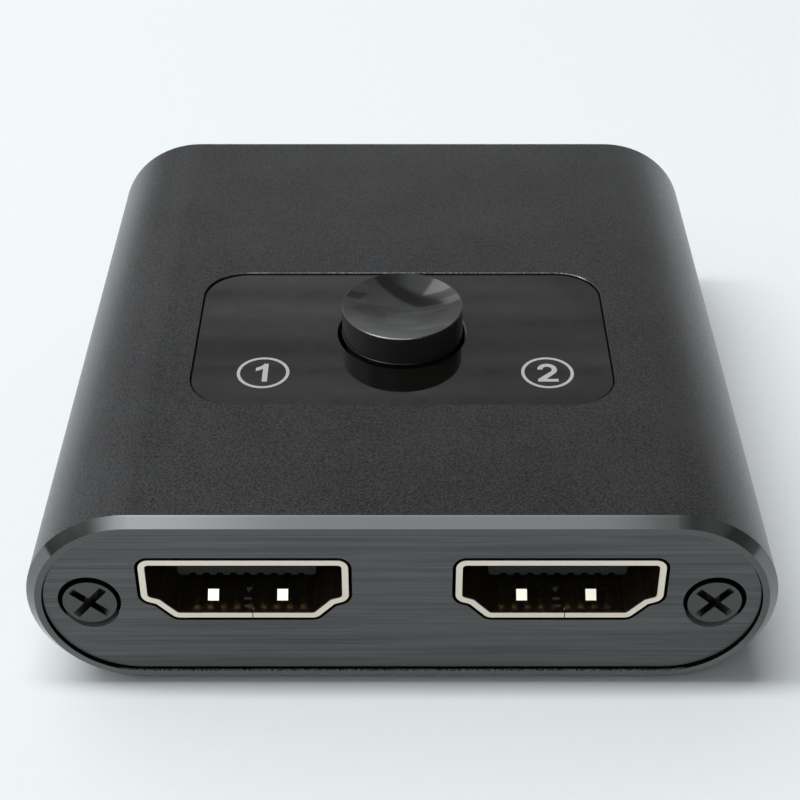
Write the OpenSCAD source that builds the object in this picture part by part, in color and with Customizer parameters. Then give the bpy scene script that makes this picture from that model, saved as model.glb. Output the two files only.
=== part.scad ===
// Video switch box: a round-sided aluminium sleeve closed by two end plates, with two input sockets,
// one output socket and a push button in a glossy inlay on top.
// Millimetres. The origin is the middle of the underside, the inputs face -Y and +Z is up.

/* [Case] */
// Width of the sleeve
body_w = 54.9; // [52:0.1:70]
// Length of the sleeve, front to back
body_l = 56.5; // [52:0.5:90]
// Height of the sleeve, which is also the diameter of its round sides
body_h = 16; // [15:0.1:20]
// Thickness of the lip that surrounds each end plate
lip_t = 1.2; // [1.1:0.05:1.5]
// Width of the shoulder that each end plate seats on
shoulder = 0.8; // [0.5:0.05:1]
// Polished chamfer round each end of the sleeve
end_chamfer = 0.7; // [0.3:0.05:0.9]

/* [End plates] */
// Thickness of an end plate
plate_t = 1.5; // [1.4:0.1:2.5]
// How far an end plate lies behind the end of the sleeve
plate_recess = 0.25; // [0.1:0.05:0.6]
// Clearance between an end plate and the lip round it
plate_gap = 0.1; // [0.05:0.05:0.4]
// How much more clearance there is below an end plate than above it
plate_rise = 0.12; // [0:0.02:0.3]

/* [Screws] */
// Distance from the side of the case to a screw's axis
screw_inset = 4.65; // [4.4:0.05:6]
// Diameter of the screw's shank
screw_d = 2; // [1.6:0.1:2.4]
// Length of the shank
screw_l = 7; // [5:0.5:10]
// Diameter of the screw's head
head_d = 3.95; // [3.6:0.05:4.2]
// Height of the screw's head
head_h = 0.95; // [0.7:0.05:1]
// Radial gap between the head and its counterbore
head_gap = 0.33; // [0.2:0.01:0.5]
// How far the counterbore lies above the screw's axis
bore_rise = 0.18; // [0:0.02:0.2]
// How far the relief under the head lies below the screw's axis
relief_drop = 0.48; // [0.3:0.02:0.6]
// How far the relief under the head lies toward the middle of the plate
relief_shift = 0.12; // [0:0.02:0.2]
// Radial gap between the shank and its hole in the end plate
shank_gap = 0.15; // [0.1:0.05:0.3]
// Length of each arm pair of the cross recess
cross_l = 3.4; // [2.6:0.05:3.5]
// Length of each arm pair at the floor of the recess
cross_tip = 1.3; // [1:0.05:1.6]
// Width of the cross recess
cross_w = 0.6; // [0.4:0.05:0.7]
// Depth of the cross recess
cross_depth = 0.8; // [0.4:0.05:0.85]
// Outside diameter of a screw port in the sleeve
port_d = 4.2; // [3.6:0.1:5]

/* [Inlay] */
// Distance from the front end to the middle of the inlay
inlay_y = 23.1; // [21:0.1:26]
// Width of the inlay's pocket
inlay_w = 33.3; // [28:0.1:38]
// Length of the inlay's pocket, front to back
inlay_l = 18.8; // [15:0.1:22]
// Corner radius of the pocket
inlay_r = 3.6; // [1:0.1:6]
// Thickness of the inlay
inlay_t = 0.65; // [0.4:0.05:0.8]
// Thickness of the adhesive under the inlay
glue_t = 0.15; // [0.1:0.05:0.3]
// How far the inlay lies below the top of the sleeve
inlay_recess = 0.15; // [0.05:0.05:0.3]
// Clearance round the inlay
inlay_gap = 0.15; // [0.1:0.05:0.3]
// Chamfer round the upper edge of the pocket
pocket_chamfer = 0.05; // [0.03:0.01:0.3]
// Chamfer round the inlay's hole
hole_chamfer = 0.15; // [0.05:0.01:0.3]
// Distance between the two lit numbers on the inlay
number_pitch = 22.4; // [20:0.1:26]
// Distance from the middle of the inlay forward to the numbers
number_drop = 5.05; // [3:0.05:6]
// Diameter of the light hole under each number
light_d = 3; // [2:0.1:3.6]

/* [Button] */
// Diameter of the button
button_d = 9.75; // [8.5:0.05:11]
// How far the button's axis lies behind the middle of the inlay
button_set = 0.7; // [-1:0.1:1.5]
// How far the button stands above the sleeve
button_rise = 2.45; // [2:0.05:4]
// Travel of the button
button_travel = 1.5; // [0.8:0.1:1.8]
// Radial gap between the button and the inlay
button_gap = 0.25; // [0.2:0.05:0.6]
// How far the button's lower edge lies below the top of the sleeve
button_foot = 0.4; // [0.2:0.05:0.6]
// How much slimmer than the button its neck is, on each side
button_neck = 0.3; // [0.25:0.05:0.5]
// Depth of the dish in the button's top
dish_depth = 0.75; // [0.3:0.05:0.9]
// Width of the sloped rim round the dish
dish_rim = 0.1; // [0.06:0.01:0.4]
// Width of the ledge round the foot of the button's side
button_ledge = 0.04; // [0.02:0.01:0.1]
// Slope of the rim and of the ledge, in degrees
rim_slope = 30; // [20:1:40]
// Radius of the button's lower edge
button_heel = 0.45; // [0.2:0.05:0.6]
// Thickness of the button's top at its rim
button_top = 1.6; // [1.4:0.1:2]
// Thickness of the button's skirt
button_wall = 1; // [0.7:0.1:1.1]

/* [Board] */
// Height of the board's upper face above the base
board_z = 6.5; // [6:0.05:7.2]
// Thickness of the board
board_t = 1.6; // [1.2:0.1:1.8]
// Clearance between the board and its guides
board_gap = 0.1; // [0.05:0.05:0.2]
// How far a guide reaches over the board's edge
guide_reach = 0.9; // [0.6:0.05:1]
// Thickness of a guide's upper lip
guide_lip = 0.8; // [0.6:0.05:1]
// Thickness of the guide's wall outside the board's edge
guide_wall = 1.05; // [0.8:0.05:1.2]

/* [Sockets] */
// Gap between an input socket and the board guide beside it
socket_side_gap = 0.2; // [0.1:0.05:1]
// How far a socket's rim lies behind the end of the sleeve
socket_set = 0.25; // [0.05:0.05:0.4]
// Width of a socket's opening
socket_w = 14.18; // [13.8:0.02:14.4]
// Height of a socket's opening
socket_h = 4.66; // [4.5:0.02:4.8]
// Depth of a socket's shell
socket_l = 12; // [11:0.1:13]
// Depth that a plug can enter
plug_depth = 9; // [8:0.1:10]
// Wall of a socket's shell
shell_t = 0.47; // [0.3:0.01:0.55]
// Gap between a shell and the end plate
shell_gap = 0.25; // [0.1:0.01:0.3]
// Inset of the opening's side at its floor
key_floor_inset = 2.1; // [1.9:0.05:2.5]
// Inset of the opening's side at the knee
key_knee_inset = 0.85; // [0.7:0.05:1.3]
// Height of the knee above the opening's floor
key_knee_z = 1.3; // [1:0.05:1.35]
// Height above the floor at which the sides stand upright
key_side_z = 1.6; // [1.5:0.05:1.8]
// Corner radius of the opening
key_r = 0.3; // [0.15:0.05:0.4]
// Width of the tongue
tongue_w = 10.2; // [10.1:0.05:10.8]
// Radius along the tongue's edges
tongue_r = 0.3; // [0.1:0.05:0.35]
// Thickness of the tongue
tongue_t = 1.05; // [0.9:0.05:1.2]
// Height of the tongue above the opening's floor
tongue_z = 1.8; // [1.6:0.05:1.9]
// How far the tongue's tip lies behind the rim
tongue_set = 2.15; // [1.5:0.05:3]
// Pitch of the contacts
contact_pitch = 1; // [0.96:0.01:1.04]
// Contacts in the upper row; the lower row has one fewer
contact_count = 10; // [8:1:10]
// Width of a contact
contact_w = 0.36; // [0.3:0.02:0.4]
// Thickness of a contact
contact_t = 0.15; // [0.12:0.01:0.18]
// Depth of a contact's groove in the tongue
groove_depth = 0.2; // [0.2:0.01:0.25]
// Distance from a socket's axis to each spring in its floor
spring_tab_x = 2.57; // [2:0.01:3]
// Width of a spring in the socket's floor
spring_tab_w = 0.79; // [0.7:0.01:1]
// Thickness of a shell's legs
leg_t = 0.4; // [0.3:0.05:0.5]
// Width of a shell's legs
leg_w = 1.2; // [1:0.1:1.5]
// How far the legs and pins reach below the board
leg_out = 0.6; // [0.4:0.1:1]

/* [Switch] */
// Side of the square switch
switch_w = 7; // [6.5:0.1:7.4]
// Height of the switch's housing
switch_h = 5.4; // [5:0.1:5.8]
// Thickness of the switch's metal cover
cover_t = 0.3; // [0.2:0.05:0.4]
// Side of the plunger's square post
post_w = 3; // [2.6:0.1:3.4]
// Side of the plunger's square foot
foot_w = 4.6; // [4.4:0.1:4.8]
// Height of the plunger's foot
foot_h = 2.6; // [2.4:0.1:2.8]
// Thickness of the housing's floor
switch_floor = 0.8; // [0.6:0.1:1]
// Sliding clearance round the plunger
slide_gap = 0.1; // [0.05:0.01:0.15]
// Outside diameter of the return spring
spring_d = 3.2; // [2.8:0.1:3.4]
// Diameter of the spring's wire
wire_d = 0.3; // [0.2:0.02:0.34]
// Curls of the spring
spring_curls = 4; // [3:0.5:4]
// Spread of the switch's pins across the board
pin_spread = 4.4; // [4:0.1:5]
// Pitch of the switch's pins
pin_pitch = 2; // [1.8:0.1:2.4]
// Width of a switch pin
pin_w = 0.6; // [0.4:0.05:0.7]

/* [Chips] */
// Side of the selector chip's body
chip_w = 7; // [5:0.1:7.4]
// Height of the selector chip
chip_h = 1.1; // [0.9:0.1:1.4]
// Pitch of the chip's leads
lead_pitch = 0.65; // [0.5:0.01:0.7]
// Size of a surge protector: across the contacts, along them, height
guard_size = [2.5, 1, 0.6]; // [0.5:0.1:3]
// Size of a capacitor: length, width, height
cap_size = [1.6, 0.8, 0.8]; // [0.5:0.1:2]
// Size of a resistor: length, width, height
res_size = [1.6, 0.8, 0.45]; // [0.4:0.05:2]
// Size of an indicator lamp: length, width, height
led_size = [2, 1.25, 0.8]; // [0.6:0.05:2.2]

/* [Hidden] */
$fn = 96;

// Cutting tools run this far past the faces they cut
over = 1;

// Sleeve
wall = lip_t + shoulder;
mid_z = body_h / 2;
seat_y = plate_recess + plate_t;
port_l = body_l - 2 * seat_y;
screw_x = body_w / 2 - screw_inset;
thread_gap = 0.02;
port_bore_d = screw_d + 2 * thread_gap;
port_web_t = 1.4;

// How far each screw is turned when it is tight, left and right
front_turns = [41, 41];
rear_turns = [12, 70];

// Board and its guides
guide_sink = 0.6;
guide_x = screw_x - port_d / 2 + guide_sink;
board_side_gap = 0.15;
board_half = guide_x - guide_wall - board_side_gap;
board_end_gap = 0.15;
board_l = body_l - 2 * (seat_y + board_end_gap);
board_under = board_z - board_t;

// Inlay and button
switch_y = inlay_y + button_set;
button_y = switch_y - body_l / 2;
pocket_depth = inlay_recess + inlay_t + glue_t;
inlay_hole_d = button_d + 2 * button_gap;
sleeve_hole_step = 0.2;
sleeve_hole_d = inlay_hole_d + 2 * sleeve_hole_step;
glue_margin = 0.5;
button_z = body_h + button_rise;
button_low = body_h - button_foot;
neck_r = button_d / 2 - button_neck;
press_room = 0.25;
cover_z = board_z + switch_h + cover_t;
cap_z = cover_z + button_travel + press_room;
crown_z = button_z - button_top;
dish_r = button_d / 2 - dish_rim;
dish_ball = (dish_r * dish_r + dish_depth * dish_depth) / (2 * dish_depth);
socket_boss_d = 5.6;
post_gap = 0.04;

// Sockets
socket_x = board_half - guide_reach - socket_side_gap - socket_w / 2 - shell_t;
tongue_foot = shell_t + tongue_z;
insulator_gap = 0.05;
contact_set = 0.4;
contact_nose = 0.13;
groove_gap = 0.05;
upper_z = tongue_foot + tongue_t - groove_depth;
lower_z = tongue_foot + groove_depth - contact_t;
lower_tail = 0.35;
upper_tail = 0.75;
foot_tail = 1.45;
feet_end = socket_l + foot_tail;
leg_front = 4.2;
leg_back = 1.8;
leg_rows = [leg_front, socket_l - leg_back];
leg_root = 0.6;
leg_room = 0.15;

// The seam in a shell's floor: straight, with one dovetail near the rim, as places across and behind it
seam_w = 0.06;
seam_x = 0.48;
seam_path = [[seam_x, -over], [seam_x, 0.5], [-0.3, 0.3], [-0.15, 1.1], [0.3, 1.25],
    [0.15, 2.05], [-0.3, 2.2], [-0.15, 3], [seam_x, 2.8], [seam_x, socket_l + over]];

// Springs in a socket's floor: window, ramp and root, as distances behind the rim and from the floor
tab_window = [1.1, 3.6];
tab_slit = 0.1;
tab_ramp = [1.62, 2.24];
tab_height = 0.29;
tab_root = 0.25;
tab_sheet = 0.24;
tab_crest = 0.32;
tab_tip = 0.46;

// Switch
cavity_w = foot_w + 2 * slide_gap;
post_hole_w = post_w + 2 * slide_gap;
foot_play = 0.05;
foot_top = switch_h - foot_play;
foot_z = foot_top - foot_h;
spring_room = 0.15;
spring_bore_d = spring_d + 2 * spring_room;
spring_bore_h = 1.4;
spring_end_gap = 0.05;
spring_foot = switch_floor + spring_end_gap;
spring_top = foot_z + spring_bore_h - spring_end_gap;
cover_skirt = 3.6;
pin_t = 0.3;
pin_hole_d = 1;

// Chips and small parts, as distances behind the front end
small_gap = 0.05;
lead_w = 0.3;
lead_t = 0.15;
lead_run = 1;
lead_margin = 0.5;
lead_count = floor((chip_w - 2 * lead_margin) / lead_pitch);
guard_gap = 0.6;
guard_y = socket_set + feet_end + guard_gap + guard_size[1] / 2;
guard_x = 2.8;
guard_rear = body_l - guard_y - guard_size[1] / 2;
chip_y = (switch_y + switch_w / 2 + guard_rear) / 2;
lamp_y = inlay_y - number_drop;
resistor_gap = 2.4;
resistor_y = lamp_y + resistor_gap;
cap_gap = 0.8;
cap_x = chip_w / 2 + lead_run + cap_gap + cap_size[0] / 2;
cap_pitch = 2.2;

aluminium = [0.25, 0.26, 0.27];
plate_metal = [0.31, 0.32, 0.33];
nickel = [0.78, 0.76, 0.71];
gold = [0.85, 0.65, 0.3];
black = [0.05, 0.05, 0.05];
inlay_black = [0.1, 0.1, 0.1];
steel = [0.6, 0.6, 0.6];
board_green = [0.05, 0.25, 0.15];

// Shapes that several pieces share

// A bar along Y with half-round sides and, where given, chamfered ends
module round_bar(w, h, l, chamfer = 0) {
    r = h / 2;
    e = l / 2;
    side = chamfer > 0
        ? [[r - chamfer, -e], [r, chamfer - e], [r, e - chamfer], [r - chamfer, e]]
        : [[r, -e], [r, e]];
    for (turn = [0, 180])
        rotate([0, turn, 0])
            translate([w / 2 - r, 0, 0])
                rotate([-90, 0, 0])
                    rotate([0, 0, -90])
                        rotate_extrude(angle = 180)
                            polygon(concat([[0, -e]], side, [[0, e]]));
    upper = [for (p = side) [p[1], p[0]]];
    lower = [for (i = [len(upper) - 1 : -1 : 0]) [upper[i][0], -upper[i][1]]];
    across(w - h) polygon(concat(upper, lower));
}

// An outline in X and Z drawn back from y = 0
module back(depth) {
    translate([0, depth, 0])
        rotate([90, 0, 0])
            linear_extrude(depth) children();
}

// An outline in Y and Z drawn across X, about the middle
module across(width) {
    rotate([90, 0, 90])
        linear_extrude(width, center = true) children();
}

// A hole or post along Y, from y = 0 backwards
module rod_back(d, depth) {
    rotate([-90, 0, 0]) cylinder(d = d, h = depth);
}

// A box that stands on z = 0, about the middle
module block(size) {
    translate([-size[0] / 2, -size[1] / 2, 0]) cube(size);
}

// A rectangle with round corners
module round_rect(w, l, r) {
    square([w - 2 * r, l], center = true);
    square([w, l - 2 * r], center = true);
    for (x = [-1, 1], y = [-1, 1])
        translate([x * (w / 2 - r), y * (l / 2 - r)]) circle(r);
}

// A pocket with round corners and a chamfered upper edge, cut down from z = 0
module round_pocket(w, l, r, depth, chamfer) {
    rise = chamfer + over;
    translate([0, 0, -depth]) linear_extrude(depth + over) round_rect(w, l, r);
    for (x = [-1, 1], y = [-1, 1])
        translate([x * (w / 2 - r), y * (l / 2 - r), -chamfer]) cylinder(r1 = r, r2 = r + rise, h = rise);
    flare = [[-0.5, 0], [-0.5, 1], [0.5, 1], [0.5, 0]];
    across(w - 2 * r)
        polygon([for (p = flare) [p[0] * (l + 2 * rise * p[1]), rise * p[1] - chamfer]]);
    rotate([0, 0, 90])
        across(l - 2 * r)
            polygon([for (p = flare) [p[0] * (w + 2 * rise * p[1]), rise * p[1] - chamfer]]);
}

// Places: y is then the distance behind the front end or the rear end
module at_front() {
    translate([0, -body_l / 2, 0]) children();
}

module at_rear() {
    rotate([0, 0, 180]) at_front() children();
}

module at_inlay() {
    translate([0, inlay_y - body_l / 2, 0]) children();
}

module at_button() {
    translate([0, button_y, 0]) children();
}

module at_switch() {
    translate([0, button_y, board_z]) children();
}

module at_screws() {
    for (side = [-1, 1])
        translate([side * screw_x, 0, mid_z]) children();
}

module at_numbers() {
    for (side = [-1, 1])
        translate([side * number_pitch / 2, lamp_y, 0]) children();
}

module at_input_1() {
    at_front() translate([-socket_x, socket_set, board_z]) children();
}

module at_input_2() {
    at_front() translate([socket_x, socket_set, board_z]) children();
}

module at_output() {
    at_rear() translate([0, socket_set, board_z]) children();
}

// Sleeve

// A guide for one long edge of the board: a rib from the floor with a slot near its top
module board_guide() {
    inner = board_half - guide_reach;
    slot = board_half + board_side_gap;
    low = board_under - board_gap;
    high = board_z + board_gap;
    back(port_l)
        polygon([
            [inner, wall / 2], [guide_x, wall / 2], [guide_x, high + guide_lip], [inner, high + guide_lip],
            [inner, high], [slot, high], [slot, low], [inner, low]
        ]);
}

// A screw port with the web that ties it to the side wall
module screw_port() {
    translate([screw_x, 0, mid_z]) rod_back(port_d, port_l);
    back(port_l)
        translate([screw_x, mid_z - port_web_t / 2])
            square([body_w / 2 - wall / 2 - screw_x, port_web_t]);
}

module sleeve() {
    color(aluminium)
    difference() {
        union() {
            difference() {
                translate([0, 0, mid_z]) round_bar(body_w, body_h, body_l, end_chamfer);
                translate([0, 0, mid_z])
                    round_bar(body_w - 2 * wall, body_h - 2 * wall, body_l + 2 * over);
            }
            for (side = [0, 1])
                mirror([side, 0, 0])
                    at_front() translate([0, seat_y, 0]) {
                        board_guide();
                        screw_port();
                    }
        }
        for (end = [-1, 1])
            translate([0, end * (body_l / 2 - seat_y / 2 + over / 2), mid_z])
                round_bar(body_w - 2 * lip_t, body_h - 2 * lip_t, seat_y + over);
        at_front() at_screws() rod_back(port_bore_d, body_l);
        at_inlay() translate([0, 0, body_h])
            round_pocket(inlay_w, inlay_l, inlay_r, pocket_depth, pocket_chamfer);
        at_button() translate([0, 0, mid_z]) cylinder(d = sleeve_hole_d, h = body_h);
        at_front() at_numbers() translate([0, 0, mid_z]) cylinder(d = light_d, h = mid_z);
    }
}

// End plates and screws

module end_plate(sockets) {
    lip = lip_t + plate_gap;
    color(plate_metal)
    difference() {
        translate([0, plate_recess + plate_t / 2, mid_z + plate_rise / 2])
            round_bar(body_w - 2 * lip, body_h - 2 * lip - plate_rise, plate_t);
        at_screws() {
            translate([0, 0, bore_rise]) rod_back(head_d + 2 * head_gap, plate_recess + head_h);
            rod_back(screw_d + 2 * shank_gap, plate_recess + plate_t + over);
        }
        for (side = [-1, 1])
            translate([side * (screw_x - relief_shift), 0, mid_z - relief_drop])
                rod_back(head_d, plate_recess + head_h);
        for (x = sockets)
            translate([x, 0, board_z])
                back(plate_recess + plate_t + over) socket_outline(shell_t + shell_gap);
    }
}

// A cross recess whose arms slope in to its floor
module cross_recess() {
    intersection() {
        union()
            for (arm = [[cross_l, cross_w], [cross_w, cross_l]])
                back(cross_depth) square(arm, center = true);
        rotate([-90, 0, 0]) cylinder(d1 = cross_l, d2 = cross_tip, h = cross_depth);
    }
}

// Two flat-headed screws with a cross recess, each turned as its thread stops
module plate_screws(turns) {
    color(steel)
    for (i = [0, 1])
        translate([[-screw_x, screw_x][i], plate_recess, mid_z])
            difference() {
                union() {
                    rod_back(head_d, head_h);
                    rod_back(screw_d, head_h + screw_l);
                }
                rotate([0, turns[i], 0]) cross_recess();
            }
}

module front_plate() {
    at_front() end_plate([-socket_x, socket_x]);
}

module rear_plate() {
    at_rear() end_plate([0]);
}

module front_screws() {
    at_front() plate_screws(front_turns);
}

module rear_screws() {
    at_rear() plate_screws(rear_turns);
}

// Inlay and button

module top_inlay() {
    flare = hole_chamfer + over;
    color(inlay_black)
    translate([0, 0, body_h - inlay_recess - inlay_t])
        difference() {
            at_inlay()
                linear_extrude(inlay_t)
                    round_rect(inlay_w - 2 * inlay_gap, inlay_l - 2 * inlay_gap, inlay_r - inlay_gap);
            at_button() translate([0, 0, -over]) cylinder(d = inlay_hole_d, h = inlay_t + 2 * over);
            at_button() translate([0, 0, inlay_t - hole_chamfer])
                cylinder(d1 = inlay_hole_d, d2 = inlay_hole_d + 2 * flare, h = flare);
        }
}

module inlay_adhesive() {
    trim = inlay_gap + glue_margin;
    color("white")
    translate([0, 0, body_h - pocket_depth])
        difference() {
            at_inlay()
                linear_extrude(glue_t)
                    round_rect(inlay_w - 2 * trim, inlay_l - 2 * trim, inlay_r - trim);
            at_button() translate([0, 0, -over])
                cylinder(d = sleeve_hole_d + 2 * glue_margin, h = glue_t + 2 * over);
            at_front() at_numbers() translate([0, 0, -over])
                cylinder(d = light_d + glue_margin, h = glue_t + 2 * over);
        }
}

// A round cap with a dished top, rounded edges, a slimmer neck and a boss that takes the switch's post
module button_cap() {
    r = button_d / 2;
    foot_r = r + button_ledge;
    side_low = button_low + button_heel;
    color(black)
    at_button()
        difference() {
            rotate_extrude() {
                translate([0, cap_z]) square([neck_r, side_low - cap_z]);
                translate([0, button_low]) square([foot_r - button_heel, button_heel]);
                intersection() {
                    translate([foot_r - button_heel, side_low]) circle(button_heel);
                    translate([0, button_low]) square([foot_r, button_heel]);
                }
                polygon([
                    [0, side_low], [foot_r, side_low], [r, side_low + button_ledge * tan(rim_slope)],
                    [r, button_z - dish_rim * tan(rim_slope)], [dish_r, button_z], [0, button_z]
                ]);
            }
            translate([0, 0, button_z + dish_ball - dish_depth]) sphere(dish_ball);
            difference() {
                translate([0, 0, cap_z - over])
                    cylinder(r = neck_r - button_wall, h = crown_z - cap_z + over);
                translate([0, 0, cap_z - 2 * over]) cylinder(d = socket_boss_d, h = body_h);
            }
            translate([0, 0, cap_z - over])
                block([post_w + 2 * post_gap, post_w + 2 * post_gap, crown_z - cap_z + over]);
        }
}

// Sockets: y runs back from the rim and z = 0 is the board's upper face

// The opening's outline, grown outwards by a distance
module socket_outline(grow) {
    half = socket_w / 2;
    right = [
        [half - key_floor_inset, 0], [half - key_knee_inset, key_knee_z],
        [half, key_side_z], [half, socket_h]
    ];
    left = [for (i = [len(right) - 1 : -1 : 0]) [-right[i][0], right[i][1]]];
    translate([0, shell_t])
        offset(r = key_r + grow, $fn = 32)
            offset(delta = -key_r)
                polygon(concat(right, left));
}

// One spring of the shell's floor: a steep ramp that faces the plug, a crest and a long slope to its root
module floor_spring() {
    root = tab_window[1] + tab_root;
    across(spring_tab_w)
        polygon([
            [tab_ramp[0], shell_t - tab_height], [tab_ramp[1], shell_t + tab_height],
            [tab_window[1], shell_t], [root, shell_t],
            [root, shell_t - tab_sheet], [tab_window[1], shell_t - tab_sheet],
            [tab_ramp[1], shell_t + tab_height - tab_crest], [tab_ramp[0] + tab_sheet, shell_t - tab_tip]
        ]);
}

// The seam in the shell's floor, one thin cut for each stretch of its path
module shell_seam() {
    for (i = [0 : len(seam_path) - 2]) {
        run = seam_path[i + 1] - seam_path[i];
        translate([seam_path[i][0], seam_path[i][1], -over])
            rotate([0, 0, atan2(run[1], run[0])])
                translate([0, -seam_w / 2, 0]) cube([norm(run) + seam_w / 2, seam_w, over + shell_t + key_r]);
    }
}

// A leg of the shell, from its upright side down through the board
module shell_leg() {
    top = shell_t + key_side_z + leg_root;
    foot = board_t + leg_out;
    translate([socket_w / 2 + shell_t - leg_t, -leg_w / 2, -foot])
        cube([leg_t, leg_w, foot + top]);
}

// A bent sheet shell with a seam and two springs in its floor, and four legs
module socket_shell() {
    color(nickel)
    union() {
        difference() {
            back(socket_l) socket_outline(shell_t);
            translate([0, -over, 0]) back(socket_l + 2 * over) socket_outline(0);
            shell_seam();
            for (side = [-1, 1])
                translate([side * spring_tab_x - spring_tab_w / 2 - tab_slit, tab_window[0], -over])
                    cube([spring_tab_w + 2 * tab_slit, tab_window[1] - tab_window[0], shell_t + 2 * over]);
        }
        for (side = [-1, 1])
            translate([side * spring_tab_x, 0, 0]) floor_spring();
        for (side = [0, 1], row = leg_rows)
            mirror([side, 0, 0])
                translate([0, row, 0]) shell_leg();
    }
}

function row_x(count) = [for (i = [0 : count - 1]) (i - (count - 1) / 2) * contact_pitch];

// A moulded block that fills the back of the shell, with the grooved tongue in front of it
module socket_insulator() {
    groove_w = contact_w + 2 * groove_gap;
    color(black)
    difference() {
        union() {
            translate([0, plug_depth, 0]) back(socket_l - plug_depth) socket_outline(-insulator_gap);
            translate([0, tongue_set, tongue_foot + tongue_t / 2])
                back(plug_depth - tongue_set + over) round_rect(tongue_w, tongue_t, tongue_r);
        }
        for (x = row_x(contact_count))
            translate([x - groove_w / 2, 0, upper_z]) cube([groove_w, socket_l + over, groove_depth]);
        for (x = row_x(contact_count - 1))
            translate([x - groove_w / 2, 0, tongue_foot]) cube([groove_w, socket_l + over, groove_depth]);
    }
}

// A row of bent contacts: along the tongue, through the block, down to the board and out to a foot.
// The tip slopes on the side that the plug meets.
module contact_row(count, z, drop, nose) {
    top = z + contact_t;
    color(gold)
    for (x = row_x(count))
        translate([x, 0, 0])
            across(contact_w)
                polygon(concat(nose, [
                    [drop + contact_t, top], [drop + contact_t, contact_t],
                    [feet_end, contact_t], [feet_end, 0], [drop, 0], [drop, z]
                ]));
}

module upper_contacts() {
    tip = tongue_set + contact_set;
    top = upper_z + contact_t;
    contact_row(contact_count, upper_z, socket_l + upper_tail,
        [[tip, upper_z], [tip, top - contact_nose], [tip + contact_nose, top]]);
}

module lower_contacts() {
    tip = tongue_set + contact_set;
    contact_row(contact_count - 1, lower_z, socket_l + lower_tail,
        [[tip + contact_nose, lower_z], [tip, lower_z + contact_nose], [tip, lower_z + contact_t]]);
}

module input_1_shell() {
    at_input_1() socket_shell();
}

module input_1_insulator() {
    at_input_1() socket_insulator();
}

module input_1_upper_contacts() {
    at_input_1() upper_contacts();
}

module input_1_lower_contacts() {
    at_input_1() lower_contacts();
}

module input_2_shell() {
    at_input_2() socket_shell();
}

module input_2_insulator() {
    at_input_2() socket_insulator();
}

module input_2_upper_contacts() {
    at_input_2() upper_contacts();
}

module input_2_lower_contacts() {
    at_input_2() lower_contacts();
}

module output_shell() {
    at_output() socket_shell();
}

module output_insulator() {
    at_output() socket_insulator();
}

module output_upper_contacts() {
    at_output() upper_contacts();
}

module output_lower_contacts() {
    at_output() lower_contacts();
}

// Board and switch

// The slots that take one shell's four legs
module leg_slots() {
    slot_t = leg_t + 2 * leg_room;
    slot_w = leg_w + 2 * leg_room;
    for (side = [0, 1], row = leg_rows)
        mirror([side, 0, 0])
            translate([socket_w / 2 + shell_t + leg_room - slot_t, row - slot_w / 2, -board_t - over])
                cube([slot_t, slot_w, board_t + 2 * over]);
}

module at_pins() {
    for (x = [-0.5, 0.5], y = [-1, 0, 1])
        translate([x * pin_spread, y * pin_pitch, 0]) children();
}

module main_board() {
    color(board_green)
    difference() {
        translate([0, 0, board_under]) block([2 * board_half, board_l, board_t]);
        at_input_1() leg_slots();
        at_input_2() leg_slots();
        at_output() leg_slots();
        at_switch() at_pins() translate([0, 0, -board_t - over])
            cylinder(d = pin_hole_d, h = board_t + 2 * over);
    }
}

module switch_housing() {
    color(black)
    at_switch()
        difference() {
            block([switch_w, switch_w, switch_h]);
            translate([0, 0, switch_floor]) block([cavity_w, cavity_w, switch_h]);
        }
}

// A folded metal cover with a square hole for the post and a skirt on two sides
module switch_cover() {
    span = switch_w + 2 * cover_t;
    color(steel)
    at_switch()
        difference() {
            translate([0, 0, switch_h - cover_skirt]) block([span, switch_w, cover_skirt + cover_t]);
            translate([0, 0, switch_h - cover_skirt - over]) block([switch_w, span, cover_skirt + over]);
            block([post_hole_w, post_hole_w, switch_h + 2 * over]);
        }
}

module switch_plunger() {
    color("white")
    at_switch()
        difference() {
            union() {
                translate([0, 0, foot_z]) block([foot_w, foot_w, foot_h]);
                translate([0, 0, foot_z]) block([post_w, post_w, crown_z - board_z - foot_z]);
            }
            translate([0, 0, foot_z - over]) cylinder(d = spring_bore_d, h = spring_bore_h + over);
        }
}

// The return spring: a helix of round wire swept as rings of points
spring_sides = 6;
spring_steps = 8 * spring_curls;
coil_r = (spring_d - wire_d) / 2;
coil_rise = spring_top - spring_foot - wire_d;

function coil_ring(i) = [
    for (k = [0 : spring_sides - 1])
        let (turn = 360 * spring_curls * i / spring_steps, a = 360 * k / spring_sides)
            [
                (coil_r + wire_d / 2 * cos(a)) * cos(turn),
                (coil_r + wire_d / 2 * cos(a)) * sin(turn),
                spring_foot + wire_d / 2 + coil_rise * i / spring_steps + wire_d / 2 * sin(a)
            ]
];

coil_points = [for (i = [0 : spring_steps]) each coil_ring(i)];

coil_faces = concat(
    [for (i = [0 : spring_steps - 1], k = [0 : spring_sides - 1])
        let (a = i * spring_sides + k, b = i * spring_sides + (k + 1) % spring_sides)
            each [[a, a + spring_sides, b], [b, a + spring_sides, b + spring_sides]]],
    [for (k = [1 : spring_sides - 2]) [0, k, k + 1]],
    [for (k = [1 : spring_sides - 2])
        let (last = spring_steps * spring_sides)
            [last, last + k + 1, last + k]]
);

module switch_spring() {
    color(steel)
    at_switch() polyhedron(coil_points, coil_faces);
}

module switch_pins() {
    foot = board_t + leg_out;
    color(steel)
    at_switch() at_pins() translate([0, 0, -foot]) block([pin_w, pin_t, foot]);
}

// Chips and small parts on the board

module at_chip() {
    at_front() translate([0, chip_y, board_z]) children();
}

module selector_chip() {
    color(black)
    at_chip() translate([0, 0, small_gap]) block([chip_w, chip_w, chip_h]);
}

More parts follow.
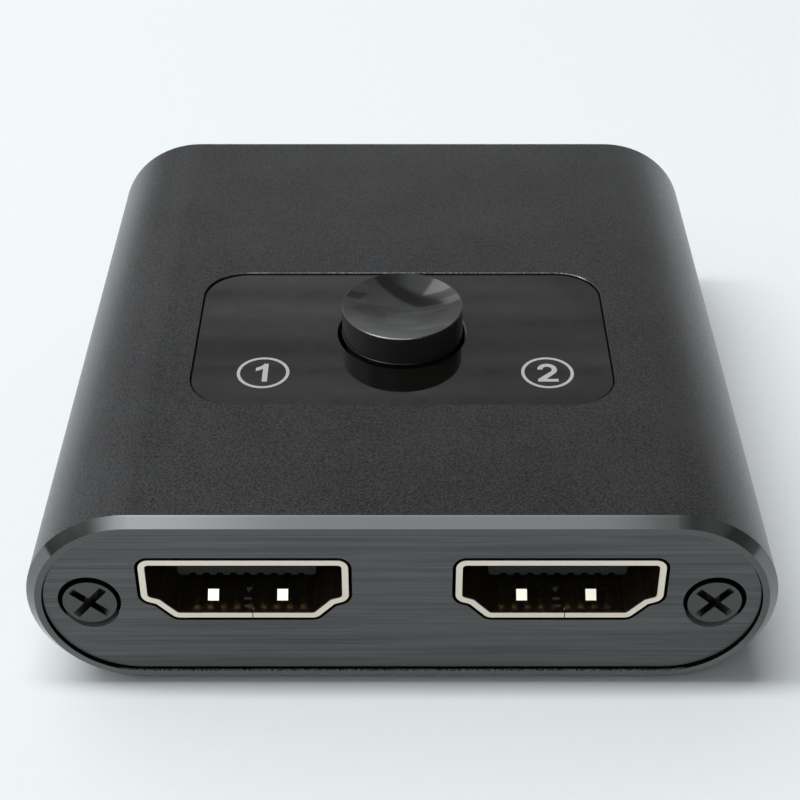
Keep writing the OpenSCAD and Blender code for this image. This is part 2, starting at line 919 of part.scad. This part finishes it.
// A lead bends out of the chip's side, down and out along the board
module chip_lead() {
    knee = chip_h / 2;
    side = chip_w / 2;
    half_run = lead_run / 2;
    across(lead_w)
        polygon([
            [side, knee], [side + half_run, knee], [side + half_run, lead_t],
            [side + lead_run, lead_t], [side + lead_run, 0], [side + half_run - lead_t, 0],
            [side + half_run - lead_t, knee - lead_t], [side, knee - lead_t]
        ]);
}

module chip_leads() {
    color(steel)
    at_chip()
        for (turn = [0 : 90 : 270], i = [0 : lead_count - 1])
            rotate([0, 0, turn])
                translate([(i - (lead_count - 1) / 2) * lead_pitch, 0, 0]) chip_lead();
}

module guard_pair() {
    for (side = [-1, 1])
        translate([side * guard_x, guard_y, board_z]) block(guard_size);
}

module surge_protectors() {
    color(black) {
        at_front()
            for (x = [-socket_x, socket_x])
                translate([x, 0, 0]) guard_pair();
        at_rear() guard_pair();
    }
}

module capacitors() {
    color("tan")
    at_chip()
        for (side = [-1, 1], row = [-1, 0, 1])
            translate([side * cap_x, row * cap_pitch, 0]) block(cap_size);
}

module resistors() {
    color(black)
    at_front()
        for (side = [-1, 1])
            translate([side * number_pitch / 2, resistor_y, board_z]) block(res_size);
}

module indicator_lamps() {
    color("white")
    at_front() at_numbers() translate([0, 0, board_z]) block(led_size);
}

sleeve();
front_plate();
rear_plate();
front_screws();
rear_screws();
top_inlay();
inlay_adhesive();
button_cap();
input_1_shell();
input_1_insulator();
input_1_upper_contacts();
input_1_lower_contacts();
input_2_shell();
input_2_insulator();
input_2_upper_contacts();
input_2_lower_contacts();
output_shell();
output_insulator();
output_upper_contacts();
output_lower_contacts();
main_board();
switch_housing();
switch_cover();
switch_plunger();
switch_spring();
switch_pins();
selector_chip();
chip_leads();
surge_protectors();
capacitors();
resistors();
indicator_lamps();
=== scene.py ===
"""Looks of the video switch box: its finishes, the printed numbers and a plain studio round it."""

import math

import bmesh
import bpy
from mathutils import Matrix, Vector


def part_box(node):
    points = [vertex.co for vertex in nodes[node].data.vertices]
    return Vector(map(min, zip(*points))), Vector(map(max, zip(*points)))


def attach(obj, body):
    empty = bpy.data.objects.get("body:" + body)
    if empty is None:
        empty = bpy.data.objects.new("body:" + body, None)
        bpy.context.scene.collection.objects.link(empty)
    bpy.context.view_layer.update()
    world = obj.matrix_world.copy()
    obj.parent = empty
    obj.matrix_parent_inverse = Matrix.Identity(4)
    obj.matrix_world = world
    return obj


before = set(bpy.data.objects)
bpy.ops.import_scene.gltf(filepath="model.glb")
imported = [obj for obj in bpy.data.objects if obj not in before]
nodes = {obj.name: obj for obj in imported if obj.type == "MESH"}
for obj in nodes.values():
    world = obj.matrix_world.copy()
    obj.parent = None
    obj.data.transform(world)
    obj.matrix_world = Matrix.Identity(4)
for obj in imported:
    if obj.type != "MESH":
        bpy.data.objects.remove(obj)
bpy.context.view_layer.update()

MM = 0.001


# Camera, at the photograph's viewing angle

CAMERA_BACK = 0.11649
CAMERA_HIGH = 0.09226
CAMERA_PITCH = 36.65
FOCAL_SHARE = 1662.4 / 800
SENSOR = 36
FRAME_SHIFT = -2.18 / 800
CLIP_START = 0.005


def add_camera():
    lens = bpy.data.cameras.new("camera")
    lens.sensor_width = SENSOR
    lens.lens = FOCAL_SHARE * SENSOR
    lens.shift_x = FRAME_SHIFT
    lens.clip_start = CLIP_START
    camera = bpy.data.objects.new("camera", lens)
    camera.location = (0, -CAMERA_BACK, CAMERA_HIGH)
    camera.rotation_euler = (math.radians(90 - CAMERA_PITCH), 0, 0)
    bpy.context.scene.collection.objects.link(camera)
    bpy.context.scene.camera = camera


# Node trees, from short calls

class Tree:
    """A node tree. A socket that is given an output is linked to it, and otherwise it is set."""

    def __init__(self, tree):
        self.tree = tree

    def add(self, kind, inputs=None, **settings):
        node = self.tree.nodes.new("ShaderNode" + kind)
        for name, value in settings.items():
            setattr(node, name, value)
        for name, value in (inputs or {}).items():
            self.put(node.inputs[name], value)
        return node

    def put(self, socket, value):
        if isinstance(value, bpy.types.NodeSocket):
            self.tree.links.new(value, socket)
        else:
            socket.default_value = value

    def math(self, operation, *values, clamp=False):
        return self.add("Math", dict(enumerate(values)), operation=operation, use_clamp=clamp).outputs[0]

    def product(self, first, *others):
        for value in others:
            first = self.math("MULTIPLY", first, value)
        return first

    def ramp(self, value, low, high, start=0.0, end=1.0):
        """A smooth step of value from start at low to end at high."""
        inputs = {"Value": value, "From Min": low, "From Max": high, "To Min": start, "To Max": end}
        return self.add("MapRange", inputs, interpolation_type="SMOOTHSTEP").outputs[0]

    def band(self, value, low, high, soft):
        """1 where value lies between low and high, with soft edges."""
        rise = self.ramp(value, low - soft, low + soft)
        fall = self.ramp(value, high - soft, high + soft, 1.0, 0.0)
        return self.math("MULTIPLY", rise, fall)

    def mix(self, share, a, b):
        """A colour between a and b."""
        return self.add("Mix", {0: share, 6: a, 7: b}, data_type="RGBA").outputs[2]

    def lobe(self, way, aim, edge, core, level):
        """A round patch of light about the direction aim, from its edge to its core as cosines."""
        inputs = {0: way, 1: Vector(aim).normalized()}
        turn = self.add("VectorMath", inputs, operation="DOT_PRODUCT").outputs["Value"]
        return self.ramp(turn, edge, core, 0.0, level)

    def parts(self, vector):
        return self.add("SeparateXYZ", {0: vector}).outputs

    def noise(self, place, size, detail=2.0, stretch=(1, 1, 1)):
        """Noise whose grains are about size metres across, drawn out along each axis by stretch."""
        scale = tuple(1 / (size * s) for s in stretch)
        moved = self.add("Mapping", {"Vector": place, "Scale": scale}).outputs[0]
        return self.add("TexNoise", {"Vector": moved, "Scale": 1.0, "Detail": detail}).outputs[0]

    def bump(self, height, depth, strength=1.0):
        return self.add("Bump", {"Height": height, "Distance": depth, "Strength": strength}).outputs[0]


def grey(value):
    return (value, value, value, 1)


class Finish(Tree):
    """A material with one Principled shader, whose fixed values are set on its own sockets."""

    def __init__(self, name, **fixed):
        self.material = bpy.data.materials.new(name)
        self.material.use_nodes = True
        super().__init__(self.material.node_tree)
        self.shader = self.tree.nodes["Principled BSDF"]
        for socket, value in fixed.items():
            self.set(socket.replace("_", " "), value)
        coords = self.add("TexCoord")
        self.place = coords.outputs["Object"]
        self.facing = coords.outputs["Normal"]

    def set(self, socket, value):
        self.put(self.shader.inputs[socket], value)


# Finishes. They change at these places on the case, the sockets and the button.

TOP_Z = 16 * MM
MIDDLE_Z = 8 * MM
FLAT_X = 20 * MM
PLATE_Y = 28 * MM
SOCKET_X = 11.4 * MM
# Where painted glints are put on the sockets' seams.
SEAM_TIP_Y = 25.85 * MM
SEAM_BARS_Y = ((26.35 * MM, 26.6 * MM), (27.15 * MM, 27.35 * MM))
SEAM_SOFT = 0.04 * MM
RIM_Z = 17.5 * MM
LEDGE_Z = 17 * MM


def blasted_aluminium():
    """Blasted, anodised dark grey, with bright-cut chamfers, recesses painted black as painted shade and
    bare metal on two edges speckled with painted glints; the chamfers carry a painted highlight along their
    top edge and the end lands are painted lighter towards the bottom as painted fill light.
    """
    f = Finish("blasted_aluminium")
    x, y, z = f.parts(f.place)
    nx, ny, nz = f.parts(f.facing)
    cut = f.band(f.math("ABSOLUTE", ny), 0.5, 0.9, 0.03)
    land = f.ramp(f.math("ABSOLUTE", ny), 0.93, 0.97)
    grain = f.noise(f.place, 0.14 * MM, 2.0)
    cloud = f.noise(f.place, 6 * MM, 2.0)
    shade = f.math("ADD", f.math("MULTIPLY", grain, 0.85), f.math("MULTIPLY", cloud, 0.15))
    long = f.math("ABSOLUTE", y)
    raised = f.math("SUBTRACT", z, MIDDLE_Z)
    outward = f.math("ADD", f.math("MULTIPLY", x, nx), f.math("MULTIPLY", raised, nz))
    # Painted shade: the recess round each end plate is painted near black, where shade falls in the gap.
    recess = f.math("MULTIPLY", f.ramp(long, PLATE_Y - 0.25 * MM, PLATE_Y - 0.2 * MM),
                    f.ramp(outward, -2 * MM, -4 * MM))
    # Painted glints: the middle of the lower lip and the pocket's edge are bare metal, speckled pale as
    # painted glints.
    middle = f.ramp(f.math("ABSOLUTE", x), FLAT_X + 1.5 * MM, FLAT_X)
    lip = f.product(recess, f.ramp(nz, 0.6, 0.9), middle,
                    f.ramp(long, PLATE_Y + 0.04 * MM, PLATE_Y + 0.1 * MM))
    pocket = f.product(f.ramp(z, TOP_Z - 0.6 * MM, TOP_Z - 0.4 * MM), f.ramp(ny, -0.5, -0.6),
                       f.ramp(long, 25 * MM, 24 * MM))
    bare = f.math("MAXIMUM", lip, pocket)
    body = f.mix(f.ramp(shade, 0.3, 0.7), (0.0225, 0.0225, 0.0235, 1), (0.07, 0.071, 0.073, 1))
    # Painted highlight: the chamfer is painted paler along its top edge, where the edge catches the light.
    high = f.ramp(z, TOP_Z - 0.1 * MM, TOP_Z - 0.04 * MM)
    bright = f.mix(high, (0.16, 0.165, 0.165, 1), (0.2, 0.205, 0.205, 1))
    # Painted fill light: the end land is painted lighter towards the bottom.
    face = f.mix(f.ramp(z, 2 * MM, 7 * MM), (0.15, 0.153, 0.155, 1), (0.11, 0.112, 0.113, 1))
    ends = f.mix(recess, f.mix(land, f.mix(cut, body, bright), face), grey(0.008))
    # Painted glints: a pale speckle from the grain on the bare lip and pocket edge.
    painted_glint_speckle = f.ramp(grain, 0.4, 0.65, 0.25, f.ramp(pocket, 0, 1, 0.95, 0.45))
    f.set("Base Color", f.mix(bare, ends, painted_glint_speckle))
    metal = f.math("ADD", f.math("MULTIPLY", f.math("MAXIMUM", cut, pocket), 0.3), 0.7)
    # Painted shade: the recess, apart from the lip, loses its metal and gloss so that it stays black.
    recess_painted_black = f.math("SUBTRACT", recess, lip, clamp=True)
    f.set("Metallic", f.ramp(recess_painted_black, 0, 1, metal, 0.0))
    f.set("Specular IOR Level", f.ramp(recess_painted_black, 0, 1, 0.5, 0.0))
    polish = f.math("SUBTRACT", cut, bare, clamp=True)
    dull = f.ramp(land, 0, 1, f.ramp(grain, 0.3, 0.7, 0.25, 0.35), 0.45)
    f.set("Roughness", f.ramp(polish, 0, 1, dull, 0.1))
    blast = f.math("SUBTRACT", 1.0, f.math("MAXIMUM", cut, land))
    f.set("Normal", f.bump(grain, 0.02 * MM, blast))
    return f.material


def brushed_aluminium():
    """Brushed and anodised dark grey, with its cut-out walls painted black as painted shade and the screws'
    reliefs painted paler as painted light.
    """
    f = Finish("brushed_aluminium")
    x, y, z = f.parts(f.place)
    nz = f.parts(f.facing)[2]
    fine = f.noise(f.place, 0.12 * MM, 2.0, (90, 1, 1))
    broad = f.noise(f.place, 0.5 * MM, 2.0, (60, 1, 1))
    hair = f.ramp(f.noise(f.place, 0.07 * MM, 1.0, (220, 1, 1)), 0.6, 0.68)
    streak = f.math("ADD", f.math("MULTIPLY", fine, 0.5), f.math("MULTIPLY", broad, 0.5))
    brushed = f.mix(f.ramp(streak, 0.35, 0.65), (0.082, 0.084, 0.085, 1), (0.115, 0.117, 0.118, 1))
    lined = f.mix(hair, brushed, (0.06, 0.061, 0.062, 1))
    # Painted shade: the walls behind the plate's face, in its cut-outs, are painted black with no metal or
    # gloss.
    wall = f.ramp(f.math("ABSOLUTE", y), PLATE_Y - 0.02 * MM, PLATE_Y - 0.05 * MM)
    # Painted light: the lower walls of the screws' reliefs are painted pale grey, as if lit from above.
    beside = f.ramp(f.math("ABSOLUTE", x), FLAT_X - 0.5 * MM, FLAT_X)
    painted_lit_relief = f.product(wall, beside, f.ramp(nz, 0.45, 0.65), f.ramp(z, 7 * MM, 6.5 * MM))
    f.set("Base Color", f.mix(painted_lit_relief, f.mix(wall, lined, grey(0.01)), grey(0.24)))
    f.set("Metallic", f.ramp(wall, 0, 1, 0.8, 0.0))
    f.set("Specular IOR Level", f.ramp(wall, 0, 1, 0.5, 0.0))
    f.set("Roughness", f.ramp(streak, 0.3, 0.7, 0.42, 0.3))
    f.set("Normal", f.bump(streak, 0.006 * MM))
    return f.material


def screw_steel():
    """Blackened steel, painted darker down in the cross as painted shade."""
    f = Finish("screw_steel", Metallic=0.85)
    long = f.math("ABSOLUTE", f.parts(f.place)[1])
    wear = f.noise(f.place, 0.3 * MM, 3.0)
    face = -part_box("front_screws")[0].y
    # Painted shade: the cross is painted near black below the head's face.
    cross = f.ramp(long, face - 0.04 * MM, face - 0.25 * MM)
    worn = f.mix(wear, (0.065, 0.066, 0.067, 1), (0.095, 0.096, 0.097, 1))
    f.set("Base Color", f.mix(cross, worn, grey(0.025)))
    f.set("Roughness", f.ramp(wear, 0.3, 0.7, 0.34, 0.46))
    f.set("Normal", f.bump(wear, 0.004 * MM))
    return f.material


def inlay_acrylic():
    """Glossy, with faint streaks, painted lighter towards the right, and a painted highlight on the edge at
    the right of the button's hole.
    """
    f = Finish("inlay_acrylic", IOR=1.55)
    x = f.parts(f.place)[0]
    nx, ny, nz = f.parts(f.facing)
    streak = f.noise(f.place, 1.3 * MM, 3.0, (40, 1, 1))
    # Painted light: besides its streaks, the inlay is painted lighter towards the right.
    share = f.math("ADD", f.math("MULTIPLY", streak, 0.5), f.ramp(x, -12 * MM, 12 * MM, 0.0, 0.5))
    tone_painted_lighter_right = f.mix(share, (0.0, 0.0, 0.0, 1), (0.0085, 0.0079, 0.0068, 1))
    # Painted highlight: the hole's edge at the right is painted pale grey.
    painted_edge_glint = f.product(f.ramp(nx, -0.4, -0.55), f.band(ny, -0.5, 0.1, 0.1), f.band(nz, 0.3, 0.9, 0.05))
    f.set("Base Color", f.mix(painted_edge_glint, tone_painted_lighter_right, grey(0.3)))
    f.set("Roughness", f.ramp(f.noise(f.place, 2 * MM), 0.3, 0.7, 0.03, 0.06))
    return f.material


def button_plastic():
    """Glossy in the dish, satin round the side and on the rim, and dull on the ledge below it."""
    f = Finish("button_plastic", IOR=1.7)
    cloud = f.noise(f.place, 1.5 * MM)
    z = f.parts(f.place)[2]
    nz = f.parts(f.facing)[2]
    side = f.ramp(nz, 0.4, 0.2)
    rim = f.band(nz, 0.83, 0.91, 0.02)
    # Painted light: the side is painted paler than the dish.
    f.set("Base Color", f.mix(side, f.mix(cloud, grey(0.004), grey(0.007)), grey(0.025)))
    satin = f.math("MULTIPLY", f.math("MAXIMUM", side, rim), 0.2)
    f.set("Roughness", f.math("ADD", f.ramp(cloud, 0.3, 0.7, 0.04, 0.07), satin))
    shine = f.ramp(z, LEDGE_Z, RIM_Z, 0.12, 0.45)
    f.set("Specular IOR Level", f.ramp(rim, 0, 1, 0.5, shine))
    return f.material


def nickel():
    """Plated sheet, painted darker behind the rim as painted shade, paler still on the springs' ramps as
    shiny plating with a painted highlight, and with pale, dull painted glints at the seam's teeth.
    """
    f = Finish("nickel")
    x, y = f.parts(f.place)[:2]
    ny, nz = f.parts(f.facing)[1:]
    grain = f.noise(f.place, 0.25 * MM, 3.0)
    long = f.math("ABSOLUTE", y)
    deep = f.ramp(long, PLATE_Y - 0.05 * MM, PLATE_Y - 0.15 * MM)
    # Painted glints: a tooth and two bars on the seam, at the floor of each socket, are painted pale and
    # dull where the seam's edges catch the light.
    off = f.math("ABSOLUTE", f.math("SUBTRACT", f.math("ABSOLUTE", x), SOCKET_X))
    taper = f.math("SUBTRACT", off, f.math("MULTIPLY", f.math("SUBTRACT", SEAM_TIP_Y, long), 0.45))
    tooth = f.math("MULTIPLY", f.ramp(taper, SEAM_SOFT, -SEAM_SOFT), f.ramp(long, 25.2 * MM, 25.3 * MM))
    bars = f.math("ADD", *(f.band(long, low, high, SEAM_SOFT) for low, high in SEAM_BARS_Y))
    teeth = f.math("MAXIMUM", tooth, f.math("MULTIPLY", bars, f.ramp(off, 0.3 * MM, 0.25 * MM)))
    seam = f.product(teeth, f.ramp(nz, 0.8, 0.9), f.ramp(off, 0.5 * MM, 0.4 * MM))
    # The springs' ramps are shiny plating, and are painted paler than the rim's plating as a painted
    # highlight.
    ramp = f.math("MULTIPLY", deep, f.band(f.math("MULTIPLY", ny, f.math("SIGN", y)), 0.4, 0.9, 0.05))
    rim = f.mix(grain, (0.71, 0.65, 0.55, 1), (0.8, 0.73, 0.64, 1))
    # Painted shade: behind the rim the plating is painted darker.
    inner = f.mix(deep, rim, (0.38, 0.32, 0.22, 1))
    f.set("Base Color", f.mix(seam, f.mix(ramp, inner, (0.95, 0.91, 0.76, 1)), grey(0.22)))
    plated = f.ramp(f.math("SUBTRACT", deep, ramp), 0, 1, 1.0, 0.95)
    f.set("Metallic", f.ramp(seam, 0, 1, plated, 0.2))
    dull = f.ramp(grain, 0.3, 0.7, 0.28, 0.4)
    drawn = f.math("SUBTRACT", dull, f.math("MULTIPLY", deep, 0.18))
    f.set("Roughness", f.ramp(ramp, 0, 1, drawn, 0.15))
    return f.material


def plain(name, low, high, roughness, size=0.4, depth=0.004, **fixed):
    """A finish that wanders between two colours, with a fine grain."""
    f = Finish(name, **fixed)
    grain = f.noise(f.place, size * MM, 3.0)
    f.set("Base Color", f.mix(grain, (*low, 1), (*high, 1)))
    f.set("Roughness", f.ramp(grain, 0.3, 0.7, roughness - 0.06, roughness + 0.06))
    f.set("Normal", f.bump(grain, depth * MM))
    return f.material


def dress():
    shells = [n for n in nodes if n.endswith("_shell")]
    insulators = [n for n in nodes if n.endswith("_insulator")]
    contacts = [n for n in nodes if n.endswith("_contacts")]
    finishes = [
        (blasted_aluminium(), ["sleeve"]),
        (brushed_aluminium(), ["front_plate", "rear_plate"]),
        (screw_steel(), ["front_screws", "rear_screws"]),
        (inlay_acrylic(), ["top_inlay"]),
        (button_plastic(), ["button_cap"]),
        (nickel(), shells),
        (plain("black_nylon", (0.008, 0.008, 0.008), (0.016, 0.016, 0.015), 0.5, Specular_IOR_Level=0.25),
         insulators + ["switch_housing"]),
        (plain("gold", (0.56, 0.45, 0.27), (0.68, 0.55, 0.35), 0.25, Metallic=1.0), contacts),
        (plain("adhesive_tape", (0.4, 0.4, 0.38), (0.5, 0.5, 0.47), 0.7), ["inlay_adhesive"]),
        (plain("board_laminate", (0.008, 0.05, 0.03), (0.015, 0.08, 0.045), 0.4), ["main_board"]),
        (plain("tinned_steel", (0.5, 0.5, 0.49), (0.65, 0.65, 0.63), 0.3, Metallic=1.0),
         ["switch_cover", "switch_spring", "switch_pins", "chip_leads"]),
        (plain("plunger_nylon", (0.7, 0.7, 0.66), (0.8, 0.8, 0.76), 0.5), ["switch_plunger"]),
        (plain("chip_epoxy", (0.012, 0.012, 0.013), (0.03, 0.03, 0.032), 0.55),
         ["selector_chip", "surge_protectors", "resistors"]),
        (plain("ceramic", (0.3, 0.2, 0.11), (0.4, 0.28, 0.16), 0.5), ["capacitors"]),
        (plain("lamp_resin", (0.75, 0.75, 0.68), (0.85, 0.85, 0.8), 0.2), ["indicator_lamps"]),
    ]
    for material, names in finishes:
        for name in names:
            for slot in nodes[name].material_slots:
                slot.material = material


# Printed numbers

PRINT_Z = (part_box("top_inlay")[1].z - 0.002 * MM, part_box("top_inlay")[1].z + 0.012 * MM)
NUMBER_Y = -10.19 * MM
NUMBER_X = {"1": -10.95 * MM, "2": 11.44 * MM}
RING = (1.815 * MM, 2.07 * MM)
RING_STEPS = 96
DIGIT_H = 2.4 * MM
STROKE = 0.41 * MM
FOOT = 0.35 * MM
BOW_STEPS = 28


def arc(centre, radius, start, end, steps):
    """Points on a circle, from start to end in degrees."""
    turns = [math.radians(start + (end - start) * i / steps) for i in range(steps + 1)]
    return [(centre[0] + radius * math.cos(a), centre[1] + radius * math.sin(a)) for a in turns]


def outline_of_1():
    left, right, top = -0.04 * MM, STROKE - 0.04 * MM, DIGIT_H
    flag = [(left + 0.1 * MM, top), (left - 0.12 * MM, top - 0.3 * MM), (left - 0.56 * MM, top - 0.56 * MM),
            (left - 0.56 * MM, top - 1.0 * MM), (left - 0.24 * MM, top - 0.86 * MM), (left, top - 0.68 * MM)]
    return [(left, 0), (right, 0), (right, top)] + flag


def outline_of_2():
    half, outer = 0.8 * MM, 0.78 * MM
    centre = (0, DIGIT_H - outer)
    bow = arc(centre, outer, 180, -40, BOW_STEPS)
    inner = arc(centre, outer - STROKE, -40, 180, BOW_STEPS)
    foot = [(-0.12 * MM, FOOT), (half, FOOT), (half, 0), (-half, 0), (-half, 0.32 * MM)]
    return bow + foot + inner


def printed(name, x, outline):
    """A ring with a digit in it, as one thin layer on the inlay."""
    low, high = PRINT_Z
    mesh = bmesh.new()
    rows = []
    for radius in RING:
        for z in (low, high):
            rows.append([mesh.verts.new((x + u, NUMBER_Y + v, z))
                         for u, v in arc((0, 0), radius, 0, 360 - 360 / RING_STEPS, RING_STEPS - 1)])
    inner_low, inner_high, outer_low, outer_high = rows
    loop = [inner_high, outer_high, outer_low, inner_low]
    for a, b in zip(loop, loop[1:] + loop[:1]):
        for i in range(RING_STEPS):
            j = (i + 1) % RING_STEPS
            mesh.faces.new((a[i], b[i], b[j], a[j]))
    low_row = [mesh.verts.new((x + u, NUMBER_Y - DIGIT_H / 2 + v, low)) for u, v in outline]
    high_row = [mesh.verts.new((x + u, NUMBER_Y - DIGIT_H / 2 + v, high)) for u, v in outline]
    mesh.faces.new(low_row)
    mesh.faces.new(high_row)
    for i in range(len(outline)):
        j = (i + 1) % len(outline)
        mesh.faces.new((low_row[i], low_row[j], high_row[j], high_row[i]))
    bmesh.ops.recalc_face_normals(mesh, faces=mesh.faces)
    bmesh.ops.triangulate(mesh, faces=[face for face in mesh.faces if len(face.verts) > 4])
    data = bpy.data.meshes.new(name)
    mesh.to_mesh(data)
    mesh.free()
    piece = bpy.data.objects.new(name, data)
    bpy.context.scene.collection.objects.link(piece)
    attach(piece, "case")
    return piece


def add_numbers():
    ink = plain("number_ink", (0.4, 0.4, 0.4), (0.5, 0.5, 0.5), 0.4, size=0.15)
    for digit, outline in (("1", outline_of_1()), ("2", outline_of_2())):
        printed("number_" + digit, NUMBER_X[digit], outline).data.materials.append(ink)


# Studio

FLOOR_HALF = 3.0
DOOR_AIM = (-0.763, 0.246, 0.597)
AMBIENT = 0.037
BACKDROP = 0.92
STRIP_PLACE = (-0.41, 0.0205, 0.96)
STRIP_SIZE = (1.094, 0.131)
STRIP_WATTS = 7.95


def add_floor():
    f = Finish("paper", Specular_IOR_Level=0.2)
    fibre = f.noise(f.place, 1.5 * MM, 3.0)
    f.set("Base Color", f.mix(fibre, (0.86, 0.9, 0.91, 1), (0.88, 0.92, 0.93, 1)))
    f.set("Roughness", f.ramp(fibre, 0.3, 0.7, 0.75, 0.85))
    mesh = bmesh.new()
    bmesh.ops.create_grid(mesh, x_segments=1, y_segments=1, size=FLOOR_HALF)
    data = bpy.data.meshes.new("floor")
    mesh.to_mesh(data)
    mesh.free()
    data.materials.append(f.material)
    floor = bpy.data.objects.new("floor", data)
    bpy.context.scene.collection.objects.link(floor)


def plane(t, x, depth, z):
    """Where a direction meets the upright plane one unit away, and 1 on that plane's side."""
    ahead = t.math("MAXIMUM", depth, 0.05)
    return t.math("DIVIDE", x, ahead), t.math("DIVIDE", z, ahead), t.ramp(depth, 0.05, 0.15)


def back_wall(t, way, x, y, z):
    """A pale, streaky wall behind the part, with a dark beam slanting across it and a window at its left."""
    across, up, side = plane(t, x, y, z)
    far = t.product(t.band(across, -1.1, 1.1, 0.35), t.ramp(z, 0.25, 0.85, 0.85, 0.17),
                    t.ramp(across, -0.5, 0.5, 0.38, 0.55))
    slant = t.math("SUBTRACT", up, t.math("MULTIPLY", across, 2.0))
    above = t.ramp(slant, 1.4, 1.7, 0.12, t.ramp(across, -0.15, 0.15, 0.5, 0.2))
    mottle = t.ramp(t.noise(way, 0.14, 2.0), 0.3, 0.7, 0.86, 1.14)
    reach = t.math("MAXIMUM", t.ramp(up, 0.7, 0.85), t.ramp(across, -0.3, -0.42, 0.0, 0.8))
    beam = t.math("MULTIPLY", t.ramp(slant, 0.9, 1.08), reach)
    rows = t.add("CombineXYZ", {0: t.math("MULTIPLY", across, 0.02), 1: up, 2: 0.07}).outputs[0]
    level = t.math("MULTIPLY", t.band(up, 0.6, 0.82, 0.02), t.band(across, -0.3, 0.3, 0.03))
    streak = t.ramp(level, 0, 1, 1.0, t.ramp(t.noise(rows, 0.013, 3.0), 0.3, 0.7, 0.6, 1.4))
    shelf = t.math("MULTIPLY", t.band(across, 0.33, 0.6, 0.03),
                   t.band(t.math("ADD", up, across), 1.2, 1.45, 0.03))
    corner = t.product(t.ramp(t.math("SUBTRACT", up, across), 0.542, 0.53),
                       t.band(across, 0.09, 0.3, 0.01), t.band(up, 0.5, 0.72, 0.02))
    dark = t.math("MAXIMUM", shelf, t.math("MULTIPLY", corner, 0.4))
    pale = t.product(t.ramp(up, 0.1, 0.27, 0.0, 0.5), t.ramp(up, 0.4, 0.6, 1.14, 1.0),
                     t.ramp(across, 0.0, 0.3, 1.0, 0.9), t.ramp(dark, 0, 1, 1.0, 0.45), streak)
    near = t.math("MULTIPLY", t.ramp(beam, 0, 1, pale, above), mottle)
    lean = t.math("ADD", up, t.math("MULTIPLY", across, 2.4))
    pane = t.product(t.ramp(lean, 0.6, 0.74, 1.3, 0.0), t.ramp(up, 1.1, 1.18),
                     t.ramp(across, -0.7, -0.6))
    low_pane = t.math("MULTIPLY", t.band(across, -0.42, -0.3, 0.03), t.band(up, 0.72, 0.9, 0.04))
    window = t.math("ADD", pane, t.math("MULTIPLY", low_pane, 0.7))
    middle = t.ramp(t.math("ABSOLUTE", across), 0.45, 0.7, t.math("ADD", near, window), far)
    return t.math("MULTIPLY", middle, side)


def softbox(t, x, y, z):
    """A low, wide light by the camera, brightest left of it."""
    across, up, side = plane(t, x, t.math("MULTIPLY", y, -1.0), z)
    left = t.ramp(across, -1.35, 0.1, 0.25, 2.85)
    tail = t.math("ADD", t.ramp(across, 0.27, 0.55, 0.47, 0.17), t.ramp(across, 0.6, 1.0, 0.0, 0.06))
    right = t.math("SUBTRACT", tail, t.ramp(across, 0.25, 0.3, 0.13, 0.0))
    glow = t.ramp(across, 0.197, 0.254, t.ramp(across, -0.25, -0.09, left, 1.27), right)
    fill = t.ramp(up, 0.7, 1.0, 0.1, 0.0)
    box = t.math("MULTIPLY", glow, t.band(up, 0.9, 1.4, 0.08))
    return t.math("MULTIPLY", t.math("ADD", box, fill), side)


def low_wall(t, x, y, z):
    """Light from low down behind the part, most of it at the right."""
    return t.product(t.ramp(y, -0.5, 0.2, 0.0, 0.55), t.ramp(z, 0.1, 0.25, 1.0, 0.0),
                     t.ramp(x, -0.6, 0.2, 0.1, 1.0))


def add_world():
    world = bpy.data.worlds.new("room")
    world.use_nodes = True
    t = Tree(world.node_tree)
    way = t.add("TexCoord").outputs["Generated"]
    x, y, z = t.parts(way)
    door = t.lobe(way, DOOR_AIM, 0.65, 0.97, 1.07)
    front = t.math("ADD", softbox(t, x, y, z), door)
    lit = t.math("ADD", front, t.math("ADD", back_wall(t, way, x, y, z), low_wall(t, x, y, z)))
    background = t.tree.nodes["Background"]
    t.put(background.inputs["Color"], (0.97, 0.99, 1.0, 1))
    seen = t.add("LightPath").outputs["Is Camera Ray"]
    t.put(background.inputs["Strength"], t.ramp(seen, 0, 1, t.math("ADD", lit, AMBIENT), BACKDROP))
    bpy.context.scene.world = world


def add_strip():
    """A long lamp that faces straight down."""
    lamp = bpy.data.lights.new("strip", "AREA")
    lamp.shape = "RECTANGLE"
    lamp.size, lamp.size_y = STRIP_SIZE
    lamp.energy = STRIP_WATTS
    holder = bpy.data.objects.new("strip", lamp)
    holder.location = STRIP_PLACE
    bpy.context.scene.collection.objects.link(holder)


add_camera()
dress()
add_numbers()
add_floor()
add_world()
add_strip()
bpy.context.scene.view_settings.view_transform = "Standard"
